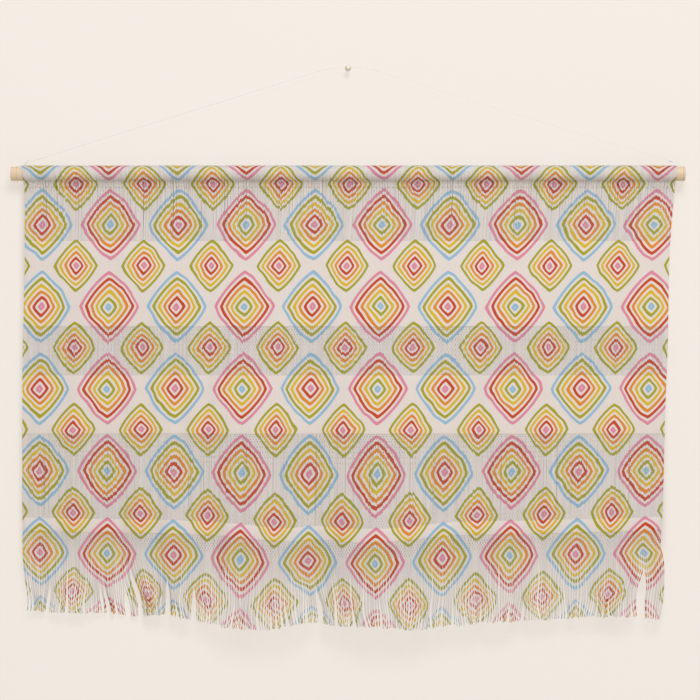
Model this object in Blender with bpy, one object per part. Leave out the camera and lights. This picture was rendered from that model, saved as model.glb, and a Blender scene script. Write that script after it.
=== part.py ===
"""Woven wall hanging: a cloth with bands of close and open weave and a long warp fringe, carried by a
dowel through its rod pocket. A clear line is tied round both ends of the dowel and lies over a nail.

Metres, +Z up. The origin is the middle of the nail's rear end, in the plane of the wall. +X runs along
the dowel to the viewer's right and +Y runs into the wall, so the hanging lies at negative y.
"""

from collections import namedtuple
from math import cos, pi, radians, sin

import bmesh
import bpy
import numpy as np

# Driving dimensions
GAP = 0.0003  # between pieces that touch

DOWEL_RADIUS = 0.00885
DOWEL_LENGTH = 0.8232
DOWEL_Y = -0.0122
DOWEL_Z = -0.1290
DOWEL_EASING = 0.0010

NAIL_SHANK_RADIUS = 0.0011
NAIL_SHANK_LENGTH = 0.0080
NAIL_HEAD_RADIUS = 0.0035
NAIL_HEAD_THICKNESS = 0.0018
NAIL_HEAD_RIM = 0.0007

LINE_RADIUS = 0.0004
LINE_REST_Y = -0.0055  # where the line lies on the nail's shank
WRAP_TURNS = 1.2
WRAP_PITCH = 0.0014
WRAP_STEPS = 8  # in a turn
WRAP_START = radians(24)  # past the dowel's top, where the line has come down on it
FACET_ALLOWANCE = 0.00015  # a wrap's flat steps come this much nearer the dowel than its corners
WRAP_RADIUS = DOWEL_RADIUS + GAP + LINE_RADIUS + FACET_ALLOWANCE

OPEN_THICKNESS = 0.0012
CLOSE_THICKNESS = 0.0022
RIDGE_THICKNESS = 0.0030
STEP_HEIGHT = 0.0008  # over which the thickness changes between two bands

PLY_GAP = 0.0004  # between the pocket's two plies under the dowel
THROAT_Z = DOWEL_Z - 0.0125  # where the pocket is sewn shut
THROAT_EASE = 0.0015  # below the sewn line both plies hang straight from here
TAIL_LENGTH = 0.0150  # the turned-in end of the cloth, behind the panel
POCKET_STEPS = 11
POCKET_SHOULDER = radians(34)  # from straight down to where the cloth leaves the dowel
PANEL_BOTTOM = -0.5861
CLOTH_COLUMNS = 40

STRAND_PITCH = 0.0047
STRAND_THICKNESS = 0.0014
STRAND_TAPER = 0.30  # of the thickness, at the tip
STRAND_UNEVEN = 0.0022  # how far single tips hang above or below their lock's
STRAND_SWING = 0.0016  # how far single tips stand before or behind their lock's
FLARE_SHARE = 0.12  # the tips go on standing out by this share of the hem's own
STRAND_LEVELS = (0.0, 0.5, 1.0)  # shares of a strand's length
ROOT_STRIP_HEIGHT = 0.0030
ROOT_WIDTH_SHARE = 0.90  # of the pitch at the roots
TIP_WIDTH_SHARE = 0.80  # of the pitch at the tips

# The bands of weave, from the sewn line down
Band = namedtuple("Band", "top thickness rows")
BANDS = (
    Band(THROAT_Z, OPEN_THICKNESS, 2),
    Band(-0.2112, CLOSE_THICKNESS, 3),
    Band(-0.3156, OPEN_THICKNESS, 2),
    Band(-0.3754, CLOSE_THICKNESS, 3),
    Band(-0.4463, OPEN_THICKNESS, 3),
    Band(-0.5495, RIDGE_THICKNESS, 1),
    Band(-0.5648, OPEN_THICKNESS, 1),
)

# The cloth's two side edges at several heights
Side = namedtuple("Side", "z left right")
SIDES = (
    Side(-0.1180, -0.3970, 0.4018),
    Side(-0.1385, -0.3960, 0.4001),
    Side(-0.2112, -0.3950, 0.3938),
    Side(-0.3156, -0.3968, 0.3910),
    Side(-0.3754, -0.3980, 0.3890),
    Side(-0.4463, -0.3981, 0.3866),
    Side(-0.5495, -0.3980, 0.3835),
    Side(-0.5861, -0.3978, 0.3812),
)

# How far the hem hangs below its level at the sides, and how far it stands out from the dowel's plane
Hem = namedtuple("Hem", "x dip forward")
HEM = (
    Hem(-0.398, 0.000, -0.003),
    Hem(-0.291, 0.002, 0.000),
    Hem(-0.186, 0.004, 0.008),
    Hem(-0.132, 0.007, 0.017),
    Hem(-0.076, 0.012, 0.021),
    Hem(-0.043, 0.010, 0.015),
    Hem(0.016, 0.013, 0.022),
    Hem(0.064, 0.011, 0.024),
    Hem(0.127, 0.005, 0.018),
    Hem(0.222, 0.003, 0.009),
    Hem(0.308, 0.001, 0.008),
    Hem(0.382, -0.001, 0.003),
)
DIP_STARTS = -0.4463  # the weft lies level down to here

# Soft vertical folds: each grows from nothing at its top to its depth at the hem
Fold = namedtuple("Fold", "x half_width top depth")
FOLDS = (
    Fold(-0.338, 0.040, -0.330, 0.0030),
    Fold(-0.281, 0.030, -0.430, -0.0045),
    Fold(-0.214, 0.034, -0.360, 0.0035),
    Fold(-0.126, 0.045, -0.220, 0.0040),
    Fold(-0.037, 0.032, -0.300, -0.0050),
    Fold(0.029, 0.040, -0.230, 0.0035),
    Fold(0.109, 0.045, -0.310, -0.0040),
    Fold(0.186, 0.040, -0.250, 0.0035),
    Fold(0.262, 0.045, -0.330, -0.0035),
    Fold(0.347, 0.034, -0.400, 0.0045),
)

# The fringe's locks, left to right. Each starts where the one before ends, and its strands close up
# between tip_left and tip_right. bow is how far they swing sideways half way down.
Lock = namedtuple("Lock", "root_right tip_left tip_right tip_z bow")
FIRST_ROOT = -0.3975
LOCKS = (
    Lock(-0.3670, -0.3920, -0.3700, -0.6630, 0.0010),
    Lock(-0.3017, -0.3610, -0.3050, -0.6656, 0.0010),
    Lock(-0.2870, -0.2980, -0.2870, -0.6656, 0.0010),
    Lock(-0.2650, -0.2770, -0.2595, -0.6700, 0.0010),
    Lock(-0.2200, -0.2520, -0.2215, -0.6690, 0.0010),
    Lock(-0.2125, -0.2150, -0.2095, -0.6680, 0.0000),
    Lock(-0.1857, -0.2066, -0.1930, -0.6716, 0.0000),
    Lock(-0.1234, -0.1880, -0.1258, -0.6790, 0.0000),
    Lock(-0.0733, -0.1230, -0.0745, -0.6840, 0.0000),
    Lock(-0.0415, -0.0710, -0.0385, -0.6766, 0.0030),
    Lock(0.0049, -0.0300, 0.0040, -0.6800, 0.0030),
    Lock(0.0574, 0.0073, 0.0562, -0.6800, 0.0015),
    Lock(0.1026, 0.0598, 0.0975, -0.6840, 0.0005),
    Lock(0.1490, 0.1026, 0.1466, -0.6790, 0.0005),
    Lock(0.1857, 0.1515, 0.1832, -0.6753, 0.0005),
    Lock(0.2260, 0.1872, 0.2235, -0.6750, 0.0005),
    Lock(0.2590, 0.2270, 0.2565, -0.6730, 0.0005),
    Lock(0.2895, 0.2600, 0.2880, -0.6704, 0.0005),
    Lock(0.3224, 0.2920, 0.3176, -0.6690, 0.0005),
    Lock(0.3560, 0.3237, 0.3505, -0.6690, 0.0005),
    Lock(0.3805, 0.3610, 0.3810, -0.6730, 0.0055),
)

# The line's route between its two wraps
LINE_ROUTE = (
    (-0.4008, -0.0118, -0.1190),
    (-0.3975, -0.0122, -0.1178),
    (-0.3930, -0.0122, -0.1163),
    (-0.3652, -0.0116, -0.1073),
    (-0.2887, -0.0103, -0.0829),
    (-0.1991, -0.0088, -0.0546),
    (-0.1258, -0.0076, -0.0318),
    (-0.0700, -0.0066, -0.0140),
    (-0.0400, -0.0061, -0.0048),
    (-0.0220, -0.0058, 0.0000),
    (-0.0100, LINE_REST_Y, 0.0014),
    (0.0000, LINE_REST_Y, 0.0018),
    (0.0100, LINE_REST_Y, 0.0014),
    (0.0220, -0.0058, 0.0000),
    (0.0400, -0.0061, -0.0048),
    (0.0700, -0.0066, -0.0138),
    (0.1270, -0.0076, -0.0314),
    (0.2003, -0.0088, -0.0544),
    (0.2956, -0.0104, -0.0840),
    (0.3700, -0.0116, -0.1066),
    (0.3980, -0.0122, -0.1153),
    (0.4030, -0.0122, -0.1172),
    (0.4060, -0.0118, -0.1188),
)
WRAP_LEFT_X = -0.4030
WRAP_RIGHT_X = 0.4080


def clear_scene():
    for leftover in list(bpy.data.objects):
        bpy.data.objects.remove(leftover, do_unlink=True)


def material(name, colour, roughness, metallic=0.0):
    made = bpy.data.materials.new(name)
    made.use_nodes = True
    shader = made.node_tree.nodes["Principled BSDF"]
    shader.inputs["Base Color"].default_value = (*colour, 1.0)
    shader.inputs["Roughness"].default_value = roughness
    shader.inputs["Metallic"].default_value = metallic
    made.diffuse_color = (*colour, 1.0)
    return made


def add_object(name, data, finish):
    made = bpy.data.objects.new(name, data)
    made.data.materials.append(finish)
    bpy.context.scene.collection.objects.link(made)
    return made


def add_mesh(name, points, faces, finish, smooth_angle=None):
    mesh = bpy.data.meshes.new(name)
    mesh.from_pydata([tuple(p) for p in points], [], faces)
    body = bmesh.new()
    body.from_mesh(mesh)
    bmesh.ops.recalc_face_normals(body, faces=body.faces)
    body.to_mesh(mesh)
    body.free()
    mesh.validate()
    if smooth_angle is not None:
        mesh.shade_smooth()
        mesh.set_sharp_from_angle(angle=smooth_angle)
    return add_object(name, mesh, finish)


def eased(rows, key, value, at):
    """The value at a place along a table, on a smooth curve through the table's rows."""
    places = np.array([getattr(row, key) for row in rows])
    values = np.array([getattr(row, value) for row in rows])
    order = np.argsort(places)
    places, values = places[order], values[order]
    slopes = np.gradient(values, places)
    at = min(max(at, places[0]), places[-1])
    i = min(int(np.searchsorted(places, at, side="right")) - 1, len(places) - 2)
    span = places[i + 1] - places[i]
    t = (at - places[i]) / span
    return (
        (2 * t**3 - 3 * t**2 + 1) * values[i]
        + (t**3 - 2 * t**2 + t) * span * slopes[i]
        + (3 * t**2 - 2 * t**3) * values[i + 1]
        + (t**3 - t**2) * span * slopes[i + 1]
    )


def ramp(start, end, at):
    """0 at start and 1 at end, with soft ends."""
    t = min(max((at - start) / (end - start), 0.0), 1.0)
    return t * t * (3 - 2 * t)


def turned(name, profile, sides, centre, along, finish):
    """A solid turned about a line along X or Y. The profile's pairs are a place along it and a radius."""
    points = []
    faces = []
    for place, radius in profile:
        for k in range(sides):
            across = radius * cos(2 * pi * k / sides)
            up = radius * sin(2 * pi * k / sides)
            offset = (place, across, up) if along == "X" else (across, place, up)
            points.append(np.add(centre, offset))
    for ring in range(len(profile) - 1):
        for k in range(sides):
            a = ring * sides + k
            b = ring * sides + (k + 1) % sides
            faces.append((a, b, b + sides, a + sides))
    faces.append(tuple(range(sides)))
    faces.append(tuple(range((len(profile) - 1) * sides, len(profile) * sides)))
    return add_mesh(name, points, faces, finish, radians(35))


def make_dowel(finish):
    half = DOWEL_LENGTH / 2
    eased_radius = DOWEL_RADIUS - DOWEL_EASING
    profile = (
        (-half, eased_radius),
        (-half + DOWEL_EASING, DOWEL_RADIUS),
        (half - DOWEL_EASING, DOWEL_RADIUS),
        (half, eased_radius),
    )
    turned("dowel", profile, 32, (0, DOWEL_Y, DOWEL_Z), "X", finish)


def make_nail(finish):
    head_front = -NAIL_SHANK_LENGTH - NAIL_HEAD_THICKNESS
    profile = (
        (0.0, NAIL_SHANK_RADIUS),
        (-NAIL_SHANK_LENGTH, NAIL_SHANK_RADIUS),
        (-NAIL_SHANK_LENGTH, NAIL_HEAD_RADIUS),
        (-NAIL_SHANK_LENGTH - NAIL_HEAD_RIM, NAIL_HEAD_RADIUS),
        (head_front + 0.0004, NAIL_HEAD_RADIUS * 0.72),
        (head_front, NAIL_HEAD_RADIUS * 0.32),
    )
    turned("nail", profile, 20, (0, 0, 0), "Y", finish)


def stand_out(x, z):
    """How far the panel stands out in front of the dowel's plane, at any height below the sewn line."""
    share = (THROAT_Z - z) / (THROAT_Z - PANEL_BOTTOM)
    out = eased(HEM, "x", "forward", x) * share**1.6
    for fold in FOLDS:
        away = abs(x - fold.x) / fold.half_width
        if away < 1:
            out += fold.depth * ramp(1, 0, away) * ramp(fold.top, PANEL_BOTTOM, z)
    return out


def hung(x, y, z):
    """A point of the flat hanging panel, moved to where the folds and the uneven hem bring it."""
    if z > THROAT_Z:
        return (x, y, z)
    dip = eased(HEM, "x", "dip", x) * ramp(DIP_STARTS, BANDS[-2].top, z)
    return (x, y - stand_out(x, z), z - dip)


Station = namedtuple("Station", "y z thickness")


def pocket_stations():
    """The cloth's middle line round the dowel, from its turned-in end to the sewn line in front."""
    behind = DOWEL_Y + (PLY_GAP + OPEN_THICKNESS) / 2
    before = DOWEL_Y - (PLY_GAP + OPEN_THICKNESS) / 2
    turns = 2 * (pi - POCKET_SHOULDER)
    radius = (DOWEL_RADIUS + GAP) / cos(turns / POCKET_STEPS / 2) + OPEN_THICKNESS / 2
    line = [
        (behind, THROAT_Z - TAIL_LENGTH),
        (behind, THROAT_Z - THROAT_EASE),
        (behind + 0.0003, THROAT_Z),
        (behind + 0.0016, THROAT_Z + 0.0018),
    ]
    for step in range(POCKET_STEPS + 1):
        turn = POCKET_SHOULDER + turns * step / POCKET_STEPS
        line.append((DOWEL_Y + radius * sin(turn), DOWEL_Z - radius * cos(turn)))
    line.append((before - 0.0016, THROAT_Z + 0.0018))
    line.append((before - 0.0003, THROAT_Z))
    return [Station(y, z, OPEN_THICKNESS) for y, z in line]


def panel_stations():
    """The middle line from just under the sewn line to the end of the weave, with a step at each band."""
    y = DOWEL_Y - (PLY_GAP + OPEN_THICKNESS) / 2
    made = []
    for number, band in enumerate(BANDS):
        last = number == len(BANDS) - 1
        top = band.top - (THROAT_EASE if number == 0 else STEP_HEIGHT / 2)
        bottom = PANEL_BOTTOM if last else BANDS[number + 1].top + STEP_HEIGHT / 2
        for row in range(band.rows + 1):
            z = top + (bottom - top) * row / band.rows
            made.append(Station(y, z, band.thickness))
    return made


def cloth_rings():
    """For each station of the section, the front and back points across the width."""
    stations = pocket_stations() + panel_stations()
    line = np.array([(s.y, s.z) for s in stations])
    along = np.gradient(line, axis=0)
    along /= np.linalg.norm(along, axis=1)[:, None]
    outward = np.stack([along[:, 1], -along[:, 0]], axis=1)
    front = []
    back = []
    for station, (out_y, out_z) in zip(stations, outward):
        left = eased(SIDES, "z", "left", station.z)
        right = eased(SIDES, "z", "right", station.z)
        half = station.thickness / 2
        for column in range(CLOTH_COLUMNS + 1):
            x = left + (right - left) * column / CLOTH_COLUMNS
            front.append(hung(x, station.y + out_y * half, station.z + out_z * half))
            back.append(hung(x, station.y - out_y * half, station.z - out_z * half))
    return len(stations), front, back


def make_cloth(finish):
    """The cloth as one sheet of real thickness. Returns the middle line of its lower edge."""
    rows, front, back = cloth_rings()
    width = CLOTH_COLUMNS + 1
    count = rows * width
    faces = []
    for row in range(rows - 1):
        for column in range(CLOTH_COLUMNS):
            a = row * width + column
            faces.append((a, a + 1, a + 1 + width, a + width))
            b = a + count
            faces.append((b + width, b + 1 + width, b + 1, b))
        for a in (row * width, row * width + CLOTH_COLUMNS):
            faces.append((a, a + width, a + width + count, a + count))
    for start in (0, (rows - 1) * width):
        for column in range(CLOTH_COLUMNS):
            a = start + column
            faces.append((a, a + 1, a + 1 + count, a + count))
    add_mesh("cloth", front + back, faces, finish, radians(40))
    return (np.array(front[-width:]) + np.array(back[-width:])) / 2


Strand = namedtuple("Strand", "root tip tip_z bow root_width tip_width")


def fringe_strands():
    """Every strand of every lock, evenly spread at its root and drawn together at its tip."""
    made = []
    root_left = FIRST_ROOT
    for lock in LOCKS:
        width = lock.root_right - root_left
        count = max(1, round(width / STRAND_PITCH))
        for k in range(count):
            share = (k + 0.5) / count
            uneven = STRAND_UNEVEN * sin(2.3 * len(made))
            made.append(
                Strand(
                    root_left + width * share,
                    lock.tip_left + (lock.tip_right - lock.tip_left) * share,
                    lock.tip_z + uneven,
                    lock.bow,
                    width / count * ROOT_WIDTH_SHARE,
                    (lock.tip_right - lock.tip_left) / count * TIP_WIDTH_SHARE,
                )
            )
        root_left = lock.root_right
    return made


def strand_rings(strand, number, root_y, root_z):
    """The corners of one strand at each of its levels, root first: front left, front right, then back."""
    rings = []
    for level in STRAND_LEVELS:
        x = strand.root + (strand.tip - strand.root) * ramp(0, 1, level) + strand.bow * sin(pi * level)
        swing = STRAND_SWING * sin(1.9 * number)
        y = root_y - (stand_out(strand.root, PANEL_BOTTOM) * FLARE_SHARE + swing) * level
        z = root_z + (strand.tip_z - root_z) * level
        half_width = (strand.root_width + (strand.tip_width - strand.root_width) * level) / 2
        half_depth = STRAND_THICKNESS / 2 * (1 - STRAND_TAPER * level)
        rings.append(
            [
                (x - half_width, y - half_depth, z),
                (x + half_width, y - half_depth, z),
                (x + half_width, y + half_depth, z),
                (x - half_width, y + half_depth, z),
            ]
        )
    return rings


def make_fringe(hem_line, finish):
    """The fringe: strands that grow out of one narrow strip along the cloth's lower edge."""
    points = []
    faces = []
    roots = []
    for number, strand in enumerate(fringe_strands()):
        root_y = np.interp(strand.root, hem_line[:, 0], hem_line[:, 1])
        hem_z = np.interp(strand.root, hem_line[:, 0], hem_line[:, 2])
        root_z = hem_z - GAP - ROOT_STRIP_HEIGHT
        rings = strand_rings(strand, number, root_y, root_z)
        first = len(points)
        for corner_x, corner_y, _ in rings[0]:
            edge_z = np.interp(corner_x, hem_line[:, 0], hem_line[:, 2])
            points.append((corner_x, corner_y, edge_z - GAP))
        for ring in rings:
            points.extend(ring)
        for ring in range(len(rings)):
            a = first + ring * 4
            for k in range(4):
                if ring or k in (0, 2):
                    faces.append((a + k, a + (k + 1) % 4, a + 4 + (k + 1) % 4, a + 4 + k))
        faces.append(tuple(first + 4 * len(rings) + k for k in range(4)))
        faces.append(tuple(first + k for k in range(4)))
        roots.append(first)
    faces.extend(strip_faces(roots))
    add_mesh("fringe", points, faces, finish)


def strip_faces(roots):
    """The faces of the root strip between neighbouring strands, and its two ends."""
    faces = []
    for a, b in zip(roots, roots[1:]):
        faces.append((a + 1, b, b + 4, a + 5))
        faces.append((a + 2, b + 3, b + 7, a + 6))
        faces.append((a + 1, b, b + 3, a + 2))
        faces.append((a + 5, b + 4, b + 7, a + 6))
    first, last = roots[0], roots[-1]
    faces.append((first, first + 3, first + 7, first + 4))
    faces.append((last + 1, last + 2, last + 6, last + 5))
    return faces


def wrap_points(x, direction):
    """The turns of the line round one end of the dowel, from where it comes on, going out along X."""
    made = []
    count = round(WRAP_TURNS * WRAP_STEPS)
    for k in range(count + 1):
        turn = WRAP_START + 2 * pi * WRAP_TURNS * k / count
        out = direction * WRAP_PITCH * (turn / (2 * pi))
        y = DOWEL_Y + WRAP_RADIUS * sin(turn)
        z = DOWEL_Z + WRAP_RADIUS * cos(turn)
        made.append((x + out, y, z))
    return made


def smooth_line(route, long_span):
    """Points on a smooth curve through the route, with one more in the middle of each short span."""
    route = np.array(route)
    lengths = np.linalg.norm(np.diff(route, axis=0), axis=1)
    at = np.concatenate([[0], np.cumsum(lengths)])
    slopes = np.gradient(route, at, axis=0)
    made = []
    for i, length in enumerate(lengths):
        made.append(tuple(route[i]))
        if length < long_span:
            middle = (route[i] + route[i + 1]) / 2 + (slopes[i] - slopes[i + 1]) * length / 8
            made.append(tuple(middle))
    made.append(tuple(route[-1]))
    return made


def make_line(finish):
    """The clear line as one open tube: a wrap, the run over the nail, and the other wrap."""
    left = wrap_points(WRAP_LEFT_X, -1)
    right = wrap_points(WRAP_RIGHT_X, 1)
    points = smooth_line(left[::-1] + list(LINE_ROUTE) + right, long_span=0.012)
    curve = bpy.data.curves.new("hanging_line", "CURVE")
    curve.dimensions = "3D"
    spline = curve.splines.new("POLY")
    spline.points.add(len(points) - 1)
    for place, point in zip(spline.points, points):
        place.co = (*point, 1.0)
    curve.bevel_depth = LINE_RADIUS
    curve.bevel_resolution = 2
    curve.use_fill_caps = True
    add_object("hanging_line", curve, finish)


def main():
    clear_scene()
    wood = material("pale_wood", (0.78, 0.62, 0.45), 0.55)
    weave = material("printed_weave", (0.80, 0.70, 0.63), 0.90)
    yarn = material("fringe_yarn", (0.78, 0.69, 0.62), 0.90)
    nylon = material("clear_line", (0.90, 0.90, 0.88), 0.20)
    brass = material("brass", (0.62, 0.55, 0.42), 0.35, 1.0)
    make_nail(brass)
    make_line(nylon)
    make_dowel(wood)
    hem_line = make_cloth(weave)
    make_fringe(hem_line, yarn)


main()
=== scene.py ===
"""The looks of the woven wall hanging: every yarn of its open bands and fringe, its close bands, the
printed pattern, the dowel, the clear line with its knots, and the nail, in front of a pale wall.
"""

from collections import namedtuple
from math import cos, pi, radians, sin

import bpy
import numpy as np
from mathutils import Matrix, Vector


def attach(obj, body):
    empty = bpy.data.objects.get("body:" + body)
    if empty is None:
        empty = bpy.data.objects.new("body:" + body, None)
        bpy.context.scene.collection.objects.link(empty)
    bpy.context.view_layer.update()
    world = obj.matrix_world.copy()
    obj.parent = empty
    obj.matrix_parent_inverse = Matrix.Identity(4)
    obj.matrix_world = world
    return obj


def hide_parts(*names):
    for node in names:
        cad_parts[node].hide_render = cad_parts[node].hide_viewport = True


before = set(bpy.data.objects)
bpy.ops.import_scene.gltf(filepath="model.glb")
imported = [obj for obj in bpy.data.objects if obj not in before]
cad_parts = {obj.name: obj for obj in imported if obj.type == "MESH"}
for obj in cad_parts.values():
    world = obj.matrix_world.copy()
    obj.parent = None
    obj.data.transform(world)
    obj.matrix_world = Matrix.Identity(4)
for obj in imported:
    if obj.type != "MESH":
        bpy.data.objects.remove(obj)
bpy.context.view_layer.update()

# Sizes that the solids have too, in metres
DOWEL_RADIUS = 0.00885
DOWEL_LENGTH = 0.8232
DOWEL_Y = -0.0122
DOWEL_Z = -0.1290
LINE_RADIUS = 0.0004
WRAP_TURNS = 1.2
WRAP_PITCH = 0.0014
WRAP_STEPS = 8
WRAP_START = radians(24)
LINE_CLEARANCE = 0.00045
WRAP_RADIUS = DOWEL_RADIUS + LINE_RADIUS + LINE_CLEARANCE
WRAP_LEFT_X = -0.4030
WRAP_RIGHT_X = 0.4080
NAIL_SHANK_LENGTH = 0.0080

PLY_HALF = 0.0008  # the middle of either ply under the dowel, from the dowel's plane
THROAT_Z = DOWEL_Z - 0.0125
TAIL_LENGTH = 0.0150
POCKET_SHOULDER = radians(34)
FRONT_SHOULDER = radians(25)
POCKET_LINE_RADIUS = DOWEL_RADIUS + 0.0010
FLAT_HALF = 0.4000  # half the cloth's width before it drew in
PANEL_BOTTOM = -0.5861
RIDGE_TOP = -0.5495
RIDGE_BOTTOM = -0.5648

# The plies under the dowel: how far before or behind its plane, and how far below the sewn line
FRONT_PLY = ((0.0008, 0.0090), (0.0011, 0.0050), (0.0019, 0.0010), (0.0030, -0.0016))
BACK_PLY = ((0.0024, -0.0018), (0.0011, 0.0), (PLY_HALF, 0.0015), (PLY_HALF, TAIL_LENGTH))
FRONT_START = FRONT_PLY[0][1]
POCKET_STEPS = 40
PANEL_SPAN = (0.0004, 0.48)  # of the straight part below the front ply
PANEL_STEPS = 240

Side = namedtuple("Side", "z left right")
SIDES = (
    Side(-0.1180, -0.3984, 0.4018),
    Side(-0.1385, -0.3960, 0.4001),
    Side(-0.2112, -0.3950, 0.3938),
    Side(-0.3156, -0.3968, 0.3910),
    Side(-0.3754, -0.3980, 0.3890),
    Side(-0.4463, -0.3981, 0.3866),
    Side(-0.5495, -0.3980, 0.3835),
    Side(-0.5861, -0.3978, 0.3812),
)

Hem = namedtuple("Hem", "x dip forward")
HEM = (
    Hem(-0.398, 0.000, -0.003),
    Hem(-0.291, 0.002, 0.000),
    Hem(-0.186, 0.004, 0.008),
    Hem(-0.132, 0.007, 0.017),
    Hem(-0.076, 0.012, 0.021),
    Hem(-0.043, 0.010, 0.015),
    Hem(0.016, 0.013, 0.022),
    Hem(0.064, 0.011, 0.024),
    Hem(0.127, 0.005, 0.018),
    Hem(0.222, 0.003, 0.009),
    Hem(0.308, 0.001, 0.008),
    Hem(0.382, -0.001, 0.003),
)
DIP_STARTS = -0.4463
HEM_BEND = 1.6  # 1 for a cloth that leans forward straight, more for one that bends

Fold = namedtuple("Fold", "x half_width top depth")
FOLDS = (
    Fold(-0.338, 0.040, -0.330, 0.0030),
    Fold(-0.281, 0.030, -0.430, -0.0045),
    Fold(-0.214, 0.034, -0.360, 0.0035),
    Fold(-0.126, 0.045, -0.220, 0.0040),
    Fold(-0.037, 0.032, -0.300, -0.0050),
    Fold(0.029, 0.040, -0.230, 0.0035),
    Fold(0.109, 0.045, -0.310, -0.0040),
    Fold(0.186, 0.040, -0.250, 0.0035),
    Fold(0.262, 0.045, -0.330, -0.0035),
    Fold(0.347, 0.034, -0.400, 0.0045),
)

# The fringe parts along slits. A slit starts at a root, opens from parts_at of the way down on, and
# its two sides end at tip_left and tip_right. The first and the last row are the fringe's side edges.
Slit = namedtuple("Slit", "root parts_at tip_left tip_right")
SLITS = (
    Slit(-0.3990, 0.10, -0.3985, -0.3930),
    Slit(-0.3652, 0.45, -0.3680, -0.3640),
    Slit(-0.3023, 0.45, -0.3035, -0.2992),
    Slit(-0.2991, 0.45, -0.2978, -0.2931),
    Slit(-0.2870, 0.62, -0.2862, -0.2824),
    Slit(-0.2797, 0.55, -0.2736, -0.2657),
    Slit(-0.2699, 0.18, -0.2560, -0.2500),
    Slit(-0.2205, 0.36, -0.2211, -0.2150),
    Slit(-0.2101, 0.60, -0.2107, -0.2084),
    Slit(-0.1844, 0.43, -0.1924, -0.1857),
    Slit(-0.1240, 0.70, -0.1250, -0.1238),
    Slit(-0.0427, 0.40, -0.0379, -0.0311),
    Slit(0.0574, 0.70, 0.0572, 0.0586),
    Slit(0.1612, 0.62, 0.1600, 0.1620),
    Slit(0.2137, 0.60, 0.2126, 0.2150),
    Slit(0.2980, 0.55, 0.2954, 0.2980),
    Slit(0.3579, 0.25, 0.3495, 0.3594),
    Slit(0.3830, 0.10, 0.3818, 0.3826),
)
RIGHT_LOCK_BOW = 0.0055  # how far the lock at the right bends outwards
RIGHT_LOCK_EDGE = (0.352, 0.364)

Tip = namedtuple("Tip", "x z")
TIPS = (
    Tip(-0.398, -0.6625),
    Tip(-0.333, -0.6656),
    Tip(-0.2925, -0.6656),
    Tip(-0.268, -0.6700),
    Tip(-0.212, -0.6680),
    Tip(-0.200, -0.6716),
    Tip(-0.157, -0.6790),
    Tip(-0.099, -0.6840),
    Tip(-0.055, -0.6766),
    Tip(-0.013, -0.6800),
    Tip(0.032, -0.6800),
    Tip(0.079, -0.6840),
    Tip(0.125, -0.6790),
    Tip(0.167, -0.6753),
    Tip(0.242, -0.6730),
    Tip(0.305, -0.6690),
    Tip(0.337, -0.6690),
    Tip(0.381, -0.6730),
)

LINE_ROUTE = (
    (-0.4008, -0.0118, -0.1190),
    (-0.3975, -0.0122, -0.1178),
    (-0.3930, -0.0122, -0.1163),
    (-0.3652, -0.0116, -0.1073),
    (-0.2887, -0.0103, -0.0829),
    (-0.1991, -0.0088, -0.0546),
    (-0.1258, -0.0076, -0.0318),
    (-0.0700, -0.0066, -0.0140),
    (-0.0400, -0.0061, -0.0048),
    (-0.0220, -0.0058, 0.0000),
    (-0.0100, -0.0055, 0.0014),
    (0.0000, -0.0055, 0.0018),
    (0.0100, -0.0055, 0.0014),
    (0.0220, -0.0058, 0.0000),
    (0.0400, -0.0061, -0.0048),
    (0.0700, -0.0066, -0.0138),
    (0.1270, -0.0076, -0.0314),
    (0.2003, -0.0088, -0.0544),
    (0.2956, -0.0104, -0.0840),
    (0.3700, -0.0116, -0.1066),
    (0.3980, -0.0122, -0.1153),
    (0.4030, -0.0122, -0.1172),
    (0.4060, -0.0118, -0.1188),
)

# How thin the fringe's yarns get towards their tips at each x, from 0 for hardly to 1 for much
THIN_PARTS = (
    (-0.398, 1.0),
    (-0.366, 0.8),
    (-0.340, 0.1),
    (-0.296, 0.5),
    (-0.250, 0.1),
    (-0.195, 0.9),
    (-0.130, 0.8),
    (-0.085, 0.2),
    (-0.035, 0.6),
    (0.010, 0.2),
    (0.055, 0.7),
    (0.100, 0.2),
    (0.145, 0.8),
    (0.190, 0.4),
    (0.235, 0.9),
    (0.275, 0.3),
    (0.310, 0.8),
    (0.345, 0.1),
    (0.381, 0.8),
)

# Sizes that only the finished surface has
WARP_COUNT = 480
WARP_PITCH = 2 * FLAT_HALF / WARP_COUNT
WARP_DEPTH = 0.0006
WARP_PLACES = ((np.arange(WARP_COUNT) + 0.5) * WARP_PITCH - FLAT_HALF)[:, None]
ODD_YARNS = (np.arange(WARP_COUNT) % 2 == 1)[:, None]
WEFT_WIDTH = 0.0007
WEFT_DEPTH = 0.0004
WEFT_PRESS = 0.0001  # how far a pick is pressed into the warp
CLOSE_HALF = 0.0008  # half the thickness of a close band
RIDGE_HALF = 0.0013
CLOSE_COLUMNS = 266
RIM_WIDTH = 0.0012  # where a close band gets thinner at its sides
RIM_SHARE = 0.35  # of its thickness is left at its very side
RIM_INSET = 0.0003
BAKE_MARGIN = 0.004
YARN_EDGE = radians(75)  # edges that bend more than this are sharp
SHEET_EDGE = radians(60)
TURNED_EDGE = radians(50)

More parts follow.
